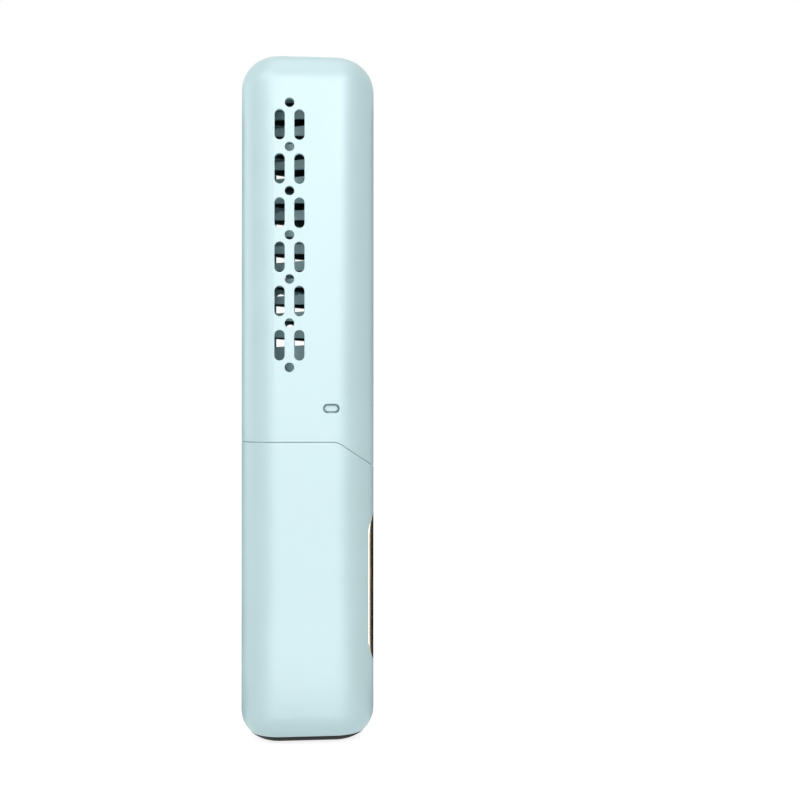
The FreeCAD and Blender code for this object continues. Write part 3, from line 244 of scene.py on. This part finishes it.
class StageLook(bpy.types.PropertyGroup):
    """The camera, the lamps, the dark flag and mat, the surround and the floor."""
    camera_place: FloatVectorProperty(
        name="Camera place", description="Where the camera stands",
        default=(-0.0018, -0.3416, 0.1002), **PLACE)
    camera_turn: FloatProperty(
        name="Camera turn", description="Turn of the camera about the upright axis",
        default=math.radians(-5.03), **ANGLE)
    camera_tilt: FloatProperty(
        name="Camera tilt", description="Tilt of the camera above the level",
        default=math.radians(0.35), **ANGLE)
    lens: FloatProperty(
        name="Lens", description="Focal length in millimetres on a 36 mm sensor", default=50.1, min=1.0)
    left_place: FloatVectorProperty(
        name="Left lamp place", description="Where the left lamp stands",
        default=(-0.49, -0.49, 0.68), **PLACE)
    left_power: FloatProperty(
        name="Left lamp power", description="Power of the left lamp", default=1.9, **POWER)
    right_place: FloatVectorProperty(
        name="Right lamp place", description="Where the right lamp stands",
        default=(0.28, -0.68, 0.62), **PLACE)
    right_power: FloatProperty(
        name="Right lamp power", description="Power of the right lamp", default=2.05, **POWER)
    side_size: FloatProperty(
        name="Side lamp size", description="Width of the left and the right lamp", default=0.5, **LENGTH)
    sheen_place: FloatVectorProperty(
        name="Sheen lamp place", description="Where the frontal lamp stands, which only reflections see",
        default=(-0.03, -0.85, 0.33), **PLACE)
    sheen_power: FloatProperty(
        name="Sheen lamp power", description="Power of the frontal lamp", default=7.2, **POWER)
    sheen_width: FloatProperty(
        name="Sheen lamp width", description="Width of the frontal lamp", default=1.0, **LENGTH)
    sheen_height: FloatProperty(
        name="Sheen lamp height", description="Height of the frontal lamp", default=0.8, **LENGTH)
    rim_place: FloatVectorProperty(
        name="Rim lamp place", description="Where the rim lamp stands", default=(-0.75, 0.35, 0.25), **PLACE)
    rim_power: FloatProperty(
        name="Rim lamp power", description="Power of the rim lamp", default=0.7, **POWER)
    rim_size: FloatProperty(
        name="Rim lamp size", description="Width of the rim lamp", default=0.4, **LENGTH)
    top_place: FloatVectorProperty(
        name="Top lamp place", description="Where the top lamp hangs, which only reflections see",
        default=(0.0, -0.1, 0.9), **PLACE)
    top_power: FloatProperty(
        name="Top lamp power", description="Power of the top lamp", default=1.6, **POWER)
    top_size: FloatProperty(
        name="Top lamp size", description="Width of the top lamp", default=0.6, **LENGTH)
    low_place: FloatVectorProperty(
        name="Low lamp place", description="Where the low lamp lies, which only reflections see",
        default=(0.0, -0.277, 0.004), **PLACE)
    low_power: FloatProperty(
        name="Low lamp power", description="Power of the low lamp", default=0.42, **POWER)
    low_width: FloatProperty(
        name="Low lamp width", description="Width of the low lamp", default=0.12, **LENGTH)
    low_length: FloatProperty(
        name="Low lamp length", description="Length of the low lamp", default=0.466, **LENGTH)
    flag_place: FloatVectorProperty(
        name="Flag place", description="Where the dark flag stands, which only reflections see",
        default=(0.0, 0.075, 0.1), **PLACE)
    flag_size: FloatProperty(
        name="Flag size", description="Width of the dark flag", default=0.24, **LENGTH)
    mat_place: FloatVectorProperty(
        name="Mat place", description="Where the dark mat lies, which only reflections see",
        default=(-0.005, 0.075, 0.0005), **PLACE)
    mat_size: FloatProperty(
        name="Mat size", description="Width of the dark mat", default=0.14, **LENGTH)
    ambient: FloatProperty(
        name="Ambient", description="Even light on the object from all round", default=0.42, **SHARE)
    floor_tone: FloatProperty(
        name="Floor tone", description="Grey of the floor that takes the shadow", default=0.45, **SHARE)
    floor_glow: FloatProperty(
        name="Floor glow", description="Share of white that the camera and reflections see in the floor",
        default=0.84, **SHARE)
    floor_fill: FloatProperty(
        name="Floor fill", description="Share of white that the floor sends up", default=0.46, **SHARE)
    floor_size: FloatProperty(
        name="Floor size", description="Width of the floor", default=40.0, **LENGTH)


class HotCombLook(bpy.types.PropertyGroup):
    """All settings of the hot comb."""
    shell: PointerProperty(name="Shells", description="Shells, base and foot band", type=ShellLook)
    metal: PointerProperty(name="Metals", description="Gold trim and heating comb", type=MetalLook)
    detail: PointerProperty(name="Details", description="Power mark and contacts", type=DetailSizes)
    stage: PointerProperty(name="Stage", description="Camera, lamps and floor", type=StageLook)


# Node helpers and the effects that several finishes share

def add_node(tree, kind, inputs=None, **settings):
    """A new node with its settings made and its inputs linked or set."""
    node = tree.nodes.new(kind)
    for name, setting in settings.items():
        setattr(node, name, setting)
    for name, given in (inputs or {}).items():
        if isinstance(given, bpy.types.NodeSocket):
            tree.links.new(given, node.inputs[name])
        else:
            node.inputs[name].default_value = given
    return node


def new_group(name, inputs, outputs):
    """An empty effect with named sockets, as its tree and its two end nodes."""
    tree = bpy.data.node_groups.new(name, "ShaderNodeTree")
    for label, kind in inputs:
        tree.interface.new_socket(label, in_out="INPUT", socket_type=kind)
    for label, kind in outputs:
        tree.interface.new_socket(label, in_out="OUTPUT", socket_type=kind)
    return tree, tree.nodes.new("NodeGroupInput"), tree.nodes.new("NodeGroupOutput")


def moulded_grain():
    """Fine grain of a moulded skin, and the slow drift of its colour and gloss."""
    name = "Moulded grain"
    if name in bpy.data.node_groups:
        return bpy.data.node_groups[name]
    tree, start, end = new_group(
        name,
        [("Vector", "NodeSocketVector"), ("Grain Scale", "NodeSocketFloat"),
         ("Drift Scale", "NodeSocketFloat")],
        [("Height", "NodeSocketFloat"), ("Drift", "NodeSocketFloat")])
    fine = add_node(tree, "ShaderNodeTexNoise", {
        "Vector": start.outputs["Vector"], "Scale": start.outputs["Grain Scale"], "Detail": 2.0,
        "Roughness": 0.6})
    slow = add_node(tree, "ShaderNodeTexNoise", {
        "Vector": start.outputs["Vector"], "Scale": start.outputs["Drift Scale"], "Detail": 3.0,
        "Roughness": 0.5})
    tree.links.new(fine.outputs["Fac"], end.inputs["Height"])
    tree.links.new(slow.outputs["Fac"], end.inputs["Drift"])
    return tree


def brushed_lines():
    """Fine lines along one axis, as a brushed metal has."""
    name = "Brushed lines"
    if name in bpy.data.node_groups:
        return bpy.data.node_groups[name]
    tree, start, end = new_group(
        name,
        [("Vector", "NodeSocketVector"), ("Line Scale", "NodeSocketFloat"), ("Stretch", "NodeSocketVector")],
        [("Streak", "NodeSocketFloat")])
    stretched = add_node(tree, "ShaderNodeVectorMath", operation="MULTIPLY")
    tree.links.new(start.outputs["Vector"], stretched.inputs[0])
    tree.links.new(start.outputs["Stretch"], stretched.inputs[1])
    lines = add_node(tree, "ShaderNodeTexNoise", {
        "Vector": stretched.outputs["Vector"], "Scale": start.outputs["Line Scale"], "Detail": 3.0,
        "Roughness": 0.65})
    tree.links.new(lines.outputs["Fac"], end.inputs["Streak"])
    return tree


def soft_edges():
    """Normals that turn softly over an edge."""
    name = "Soft edges"
    if name in bpy.data.node_groups:
        return bpy.data.node_groups[name]
    tree, start, end = new_group(name, [("Radius", "NodeSocketFloat")], [("Normal", "NodeSocketVector")])
    bevel = add_node(tree, "ShaderNodeBevel", {"Radius": start.outputs["Radius"]}, samples=EDGE_SAMPLES)
    tree.links.new(bevel.outputs["Normal"], end.inputs["Normal"])
    return tree


# Finishes

def new_finish(name):
    """A new material and its shader."""
    material = bpy.data.materials.new(name)
    material.use_nodes = True
    return material, material.node_tree.nodes["Principled BSDF"]


def set_plain(material, name, value):
    """Sets an input of a finish's shader that is the same all over."""
    material.node_tree.nodes["Principled BSDF"].inputs[name].default_value = value


def object_place(tree):
    """The place on the object that a pattern follows."""
    return add_node(tree, "ShaderNodeTexCoord").outputs["Object"]


def two_tones(tree, source, colour, tone):
    """A colour that goes from a little darker to a little lighter as a noise rises."""
    ramp = add_node(tree, "ShaderNodeValToRGB", {"Fac": source})
    ends = zip(ramp.color_ramp.elements, (NOISE_LOW, NOISE_HIGH), (1.0 - tone, 1.0 + tone))
    for stop, position, share in ends:
        stop.position = position
        stop.color = (*(min(part * share, 1.0) for part in colour), 1.0)
    return ramp.outputs["Color"]


def spread(tree, source, middle, swing):
    """A value that swings round a middle as a noise rises."""
    mapped = add_node(tree, "ShaderNodeMapRange", {
        "Value": source, "From Min": NOISE_LOW, "From Max": NOISE_HIGH,
        "To Min": middle - swing, "To Max": middle + swing})
    return mapped.outputs["Result"]


def fine_relief(tree, height, depth, edge):
    """Normals of a fine relief over softened edges."""
    edges = add_node(tree, "ShaderNodeGroup", {"Radius": edge}, node_tree=soft_edges())
    bump = add_node(tree, "ShaderNodeBump", {
        "Strength": BUMP_STRENGTH, "Distance": depth, "Height": height, "Normal": edges.outputs["Normal"]})
    return bump.outputs["Normal"]


def moulded(name, colour, roughness, grain, depth, edge=EDGE_RADIUS, tone=0.015, swing=0.04):
    """A moulded plastic or fired skin with fine grain, soft edges and a slow drift in tone."""
    material, shader = new_finish(name)
    tree = material.node_tree
    skin = add_node(
        tree, "ShaderNodeGroup",
        {"Vector": object_place(tree), "Grain Scale": 1.0 / grain, "Drift Scale": DRIFT_SCALE},
        node_tree=moulded_grain())
    height, drift = skin.outputs["Height"], skin.outputs["Drift"]
    tree.links.new(two_tones(tree, drift, colour, tone), shader.inputs["Base Color"])
    tree.links.new(spread(tree, drift, roughness, swing), shader.inputs["Roughness"])
    tree.links.new(fine_relief(tree, height, depth, edge), shader.inputs["Normal"])
    return material


def brushed(name, colour, roughness, line, depth, edge=EDGE_RADIUS, tone=0.06, swing=0.05):
    """A metal with fine upright lines and soft edges."""
    material, shader = new_finish(name)
    tree = material.node_tree
    lines = add_node(
        tree, "ShaderNodeGroup",
        {"Vector": object_place(tree), "Line Scale": 1.0 / line, "Stretch": LINE_STRETCH},
        node_tree=brushed_lines())
    streak = lines.outputs["Streak"]
    shader.inputs["Metallic"].default_value = 1.0
    tree.links.new(two_tones(tree, streak, colour, tone), shader.inputs["Base Color"])
    tree.links.new(spread(tree, streak, roughness, swing), shader.inputs["Roughness"])
    tree.links.new(fine_relief(tree, streak, depth, edge), shader.inputs["Normal"])
    return material


def dress(material, *names):
    """Gives a finish to nodes of the frame."""
    for name in names:
        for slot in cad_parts[name].material_slots:
            slot.material = material


# Shapes of the small details

def new_piece(name, shape, material, body):
    """Makes a mesh piece of a finished bmesh, which rides on a body."""
    bmesh.ops.remove_doubles(shape, verts=shape.verts[:], dist=MERGE_DISTANCE)
    bmesh.ops.recalc_face_normals(shape, faces=shape.faces[:])
    mesh = bpy.data.meshes.new(name)
    shape.to_mesh(mesh)
    shape.free()
    mesh.materials.append(material)
    piece = bpy.data.objects.new(name, mesh)
    bpy.context.scene.collection.objects.link(piece)
    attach(piece, body)


def add_block(shape, low, high):
    """Adds a box between two corners to a shape."""
    low, high = Vector(low), Vector(high)
    made = bmesh.ops.create_cube(shape, size=1.0)["verts"]
    bmesh.ops.scale(shape, vec=high - low, verts=made)
    bmesh.ops.translate(shape, vec=(low + high) / 2, verts=made)


# Operators, one for each piece or group of like pieces

class HOTCOMB_OT_shells(bpy.types.Operator):
    """Finishes the cap, the handle and the two comb shells"""
    bl_idname = "hot_comb.shells"
    bl_label = "Finish the shells"

    def execute(self, context):
        look = context.scene.hot_comb.shell
        satin = moulded("Satin shell", look.colour, look.roughness, look.grain, look.grain_depth, look.edge)
        set_plain(satin, "Specular IOR Level", look.gloss)
        dress(satin, "cap_shell", "handle_sleeve", "front_comb_shell", "rear_comb_shell")
        return {"FINISHED"}


class HOTCOMB_OT_base(bpy.types.Operator):
    """Finishes the dark base"""
    bl_idname = "hot_comb.base"
    bl_label = "Finish the base"

    def execute(self, context):
        look = context.scene.hot_comb.shell
        pebbled = moulded("Pebbled base", look.base_colour, look.base_roughness, look.base_grain,
                          look.base_grain_depth, tone=look.base_tone)
        set_plain(pebbled, "Specular IOR Level", look.base_gloss)
        dress(pebbled, "base_cover")
        return {"FINISHED"}


class HOTCOMB_OT_band(bpy.types.Operator):
    """Adds the thin band round the foot of the handle, in the finish of the base"""
    bl_idname = "hot_comb.band"
    bl_label = "Add the foot band"

    def execute(self, context):
        look = context.scene.hot_comb.shell
        shape = bmesh.new()
        shape.from_mesh(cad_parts["handle_sleeve"].data)
        bmesh.ops.remove_doubles(shape, verts=shape.verts[:], dist=MERGE_DISTANCE)
        bmesh.ops.bisect_plane(shape, geom=shape.verts[:] + shape.edges[:] + shape.faces[:],
                               plane_co=(0, 0, look.band_top), plane_no=(0, 0, 1), clear_outer=True)
        shape.normal_update()
        others = [face for face in shape.faces if not BAND_FLATTEST < face.normal.z < BAND_STEEPEST]
        bmesh.ops.delete(shape, geom=others, context="FACES")
        bmesh.ops.solidify(shape, geom=shape.faces[:], thickness=-look.band_wall)
        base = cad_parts["base_cover"]
        new_piece("foot_band", shape, base.material_slots[0].material, "handset")
        return {"FINISHED"}


class HOTCOMB_OT_trim(bpy.types.Operator):
    """Finishes the gold trim plate and the power button"""
    bl_idname = "hot_comb.trim"
    bl_label = "Finish the gold trim"

    def execute(self, context):
        look = context.scene.hot_comb.metal
        plate = brushed("Brushed gold", look.gold, look.plate_roughness, look.brush, look.plate_depth)
        button = brushed("Coated gold", look.gold, look.button_roughness, look.brush, look.button_depth)
        dress(plate, "trim_plate")
        dress(button, "power_button")
        return {"FINISHED"}


class HOTCOMB_OT_comb(bpy.types.Operator):
    """Finishes the heating comb"""
    bl_idname = "hot_comb.comb"
    bl_label = "Finish the heating comb"

    def execute(self, context):
        look = context.scene.hot_comb.metal
        coated = moulded("Coated comb", look.comb, look.comb_roughness, look.comb_grain,
                         look.comb_grain_depth, tone=look.comb_tone, swing=look.comb_swing)
        set_plain(coated, "Metallic", look.comb_metal)
        dress(coated, "heating_comb")
        return {"FINISHED"}


class HOTCOMB_OT_inside(bpy.types.Operator):
    """Finishes the parts inside the handle and the comb head"""
    bl_idname = "hot_comb.inside"
    bl_label = "Finish the inner parts"

    def execute(self, context):
        for finish, kinds in ((moulded, INNER_MOULDINGS), (brushed, INNER_METALS)):
            for name, settings in kinds.items():
                dress(finish(name, **settings), *INNER_NODES[name])
        return {"FINISHED"}


class HOTCOMB_OT_mark(bpy.types.Operator):
    """Adds the power mark to the button"""
    bl_idname = "hot_comb.mark"
    bl_label = "Add the power mark"

    def execute(self, context):
        sizes = context.scene.hot_comb.detail
        low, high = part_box("power_button")
        centre = Vector((high.x, 0.0, (low.z + high.z) / 2))
        inner, outer = sizes.mark_radius - sizes.mark_line / 2, sizes.mark_radius + sizes.mark_line / 2
        back, front = -sizes.mark_sunk, sizes.mark_proud
        shape = bmesh.new()
        corners = [shape.verts.new((x, 0.0, z)) for x, z in
                   ((back, inner), (front, inner), (front, outer), (back, outer))]
        ends = [shape.edges.new(pair) for pair in zip(corners, corners[1:] + corners[:1])]
        bmesh.ops.rotate(shape, verts=corners, cent=(0, 0, 0),
                         matrix=Matrix.Rotation(sizes.mark_opening / 2, 3, "X"))
        bmesh.ops.spin(shape, geom=corners + ends, cent=(0, 0, 0), axis=(1, 0, 0), steps=sizes.mark_steps,
                       angle=2 * math.pi - sizes.mark_opening)
        bmesh.ops.holes_fill(shape, edges=shape.edges[:], sides=4)
        add_block(shape, (back, -sizes.mark_line / 2, sizes.mark_radius * sizes.mark_foot),
                  (front, sizes.mark_line / 2, sizes.mark_radius * sizes.mark_head))
        bmesh.ops.translate(shape, vec=centre, verts=shape.verts[:])
        paint = moulded("Mark paint", sizes.mark_colour, sizes.mark_roughness, sizes.mark_grain,
                        sizes.mark_grain_depth, sizes.edge)
        new_piece("power_mark", shape, paint, "button")
        return {"FINISHED"}


class HOTCOMB_OT_contacts(bpy.types.Operator):
    """Adds the contacts to the tongue of the charging socket"""
    bl_idname = "hot_comb.contacts"
    bl_label = "Add the socket contacts"

    def execute(self, context):
        sizes = context.scene.hot_comb.detail
        metal = context.scene.hot_comb.metal
        low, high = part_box("socket_tongue")
        pitch = (high.y - low.y) / (sizes.contact_count + 1)
        shape = bmesh.new()
        for row in range(sizes.contact_count):
            middle = low.y + (row + 1) * pitch
            start = (low.x - sizes.contact_proud, middle - sizes.contact_width / 2, low.z + pitch / 2)
            stop = (high.x + sizes.contact_proud, middle + sizes.contact_width / 2, high.z)
            add_block(shape, start, stop)
        bmesh.ops.bevel(shape, geom=shape.edges[:], offset=sizes.contact_proud / 2, affect="EDGES",
                        segments=2, profile=0.5, material=-1)
        plating = brushed("Contact plating", metal.gold, metal.button_roughness, metal.brush,
                          metal.button_depth, sizes.edge)
        new_piece("socket_contacts", shape, plating, "handset")
        return {"FINISHED"}


class HOTCOMB_OT_stage(bpy.types.Operator):
    """Sets up the camera, the lamps, the white surround, the floor and the dark sheets"""
    bl_idname = "hot_comb.stage"
    bl_label = "Set up the studio"

    def execute(self, context):
        look = context.scene.hot_comb.stage
        scene = context.scene
        scene.view_settings.view_transform = "Standard"
        self.add_camera(scene, look)
        self.add_lamp(scene, "Left lamp", look.left_place, look.side_size, look.side_size, look.left_power)
        self.add_lamp(scene, "Right lamp", look.right_place, look.side_size, look.side_size, look.right_power)
        self.add_lamp(scene, "Rim lamp", look.rim_place, look.rim_size, look.rim_size, look.rim_power)
        sheen = self.add_lamp(scene, "Sheen lamp", look.sheen_place, look.sheen_width, look.sheen_height,
                              look.sheen_power)
        top = self.add_lamp(scene, "Top lamp", look.top_place, look.top_size, look.top_size, look.top_power)
        low = self.add_lamp(scene, "Low lamp", look.low_place, look.low_width, look.low_length,
                            look.low_power)
        low.rotation_euler = (math.pi, 0.0, 0.0)
        for lamp in (sheen, top, low):
            lamp.visible_diffuse = False
        self.light_surround(scene, look)
        self.lay_floor(scene, look)
        flag = self.add_dark_sheet(scene, "Flag", look.flag_place, look.flag_size)
        flag.rotation_euler = self.facing(look.flag_place)
        self.add_dark_sheet(scene, "Mat", look.mat_place, look.mat_size)
        return {"FINISHED"}

    def add_camera(self, scene, look):
        """The camera of the main view."""
        camera = bpy.data.objects.new("Camera", bpy.data.cameras.new("Camera"))
        camera.location = look.camera_place
        camera.rotation_euler = (math.pi / 2 + look.camera_tilt, 0.0, look.camera_turn)
        camera.data.lens = look.lens
        camera.data.clip_start = CLIP_START
        scene.collection.objects.link(camera)
        scene.camera = camera

    def facing(self, place):
        """The turn that makes something at a place face the middle of the object."""
        middle = (CAD_BOX[0] + CAD_BOX[1]) / 2
        return (middle - Vector(place)).to_track_quat("-Z", "Y").to_euler()

    def add_lamp(self, scene, name, place, width, length, power):
        """A soft lamp that faces the middle of the object."""
        lamp = bpy.data.objects.new(name, bpy.data.lights.new(name, "AREA"))
        lamp.data.shape = "RECTANGLE"
        lamp.data.size = width
        lamp.data.size_y = length
        lamp.data.energy = power
        lamp.location = place
        lamp.rotation_euler = self.facing(place)
        lamp.visible_camera = False
        scene.collection.objects.link(lamp)
        return lamp

    def seen_by(self, tree, rays, hidden, seen):
        """A value that is one thing for some kinds of ray and another for the rest."""
        path = add_node(tree, "ShaderNodeLightPath")
        any_ray = path.outputs[rays[0]]
        for ray in rays[1:]:
            joined = add_node(tree, "ShaderNodeMath", operation="MAXIMUM")
            tree.links.new(any_ray, joined.inputs[0])
            tree.links.new(path.outputs[ray], joined.inputs[1])
            any_ray = joined.outputs["Value"]
        mixed = add_node(tree, "ShaderNodeMapRange", {"Value": any_ray, "To Min": hidden, "To Max": seen})
        return mixed.outputs["Result"]

    def light_surround(self, scene, look):
        """Even light from all round, which looks white to the camera and in reflections."""
        world = bpy.data.worlds.new("Surround")
        world.use_nodes = True
        tree = world.node_tree
        background = tree.nodes["Background"]
        background.inputs["Color"].default_value = WHITE
        tree.links.new(self.seen_by(tree, LOOKING_RAYS, look.ambient, 1.0), background.inputs["Strength"])
        scene.world = world

    def add_sheet(self, scene, name, size):
        """A square dull sheet, as its object and its shader."""
        shape = bmesh.new()
        bmesh.ops.create_grid(shape, x_segments=1, y_segments=1, size=size / 2)
        mesh = bpy.data.meshes.new(name)
        shape.to_mesh(mesh)
        shape.free()
        sheet = bpy.data.objects.new(name, mesh)
        scene.collection.objects.link(sheet)
        material, shader = new_finish(name)
        mesh.materials.append(material)
        shader.inputs["Roughness"].default_value = 1.0
        shader.inputs["Specular IOR Level"].default_value = 0.0
        return sheet, shader

    def lay_floor(self, scene, look):
        """A pale floor that looks white and keeps the shadow."""
        floor, shader = self.add_sheet(scene, "Floor", look.floor_size)
        floor.location.z = CAD_BOX[0].z
        shader.inputs["Base Color"].default_value = (look.floor_tone, look.floor_tone, look.floor_tone, 1.0)
        shader.inputs["Emission Color"].default_value = WHITE
        tree = shader.id_data
        fill = self.seen_by(tree, ("Is Diffuse Ray",), 0.0, look.floor_fill)
        glow = self.seen_by(tree, LOOKING_RAYS, fill, look.floor_glow)
        tree.links.new(glow, shader.inputs["Emission Strength"])

    def add_dark_sheet(self, scene, name, place, size):
        """A dark sheet that darkens the edges that mirror it, and that nothing else sees."""
        sheet, shader = self.add_sheet(scene, name, size)
        sheet.location = place
        shader.inputs["Base Color"].default_value = BLACK
        for kind in HIDDEN_FROM:
            setattr(sheet, f"visible_{kind}", False)
        return sheet


class HOTCOMB_PT_panel(bpy.types.Panel):
    """Settings and steps of the hot comb"""
    bl_idname = "HOTCOMB_PT_panel"
    bl_label = "Hot Comb"
    bl_space_type = "VIEW_3D"
    bl_region_type = "UI"
    bl_category = "Hot Comb"

    def draw(self, context):
        look = context.scene.hot_comb
        for part in (look.shell, look.metal, look.detail, look.stage):
            column = self.layout.column(align=True)
            for name in part.__annotations__:
                column.prop(part, name)
        for step in STEPS:
            self.layout.operator(step.bl_idname)


STEPS = (
    HOTCOMB_OT_stage,
    HOTCOMB_OT_shells,
    HOTCOMB_OT_base,
    HOTCOMB_OT_band,
    HOTCOMB_OT_trim,
    HOTCOMB_OT_comb,
    HOTCOMB_OT_inside,
    HOTCOMB_OT_mark,
    HOTCOMB_OT_contacts,
)
CLASSES = (ShellLook, MetalLook, DetailSizes, StageLook, HotCombLook, *STEPS, HOTCOMB_PT_panel)


def register():
    """Adds the classes and the settings to Blender."""
    for kind in CLASSES:
        bpy.utils.register_class(kind)
    bpy.types.Scene.hot_comb = PointerProperty(
        name="Hot comb", description="Settings of the hot comb", type=HotCombLook)


def unregister():
    """Takes the settings and the classes out of Blender."""
    del bpy.types.Scene.hot_comb
    for kind in reversed(CLASSES):
        bpy.utils.unregister_class(kind)


def main():
    """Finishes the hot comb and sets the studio."""
    register()
    bpy.ops.hot_comb.stage()
    bpy.ops.hot_comb.shells()
    bpy.ops.hot_comb.base()
    bpy.ops.hot_comb.band()
    bpy.ops.hot_comb.trim()
    bpy.ops.hot_comb.comb()
    bpy.ops.hot_comb.inside()
    bpy.ops.hot_comb.mark()
    bpy.ops.hot_comb.contacts()


if __name__ == "__main__":
    main()
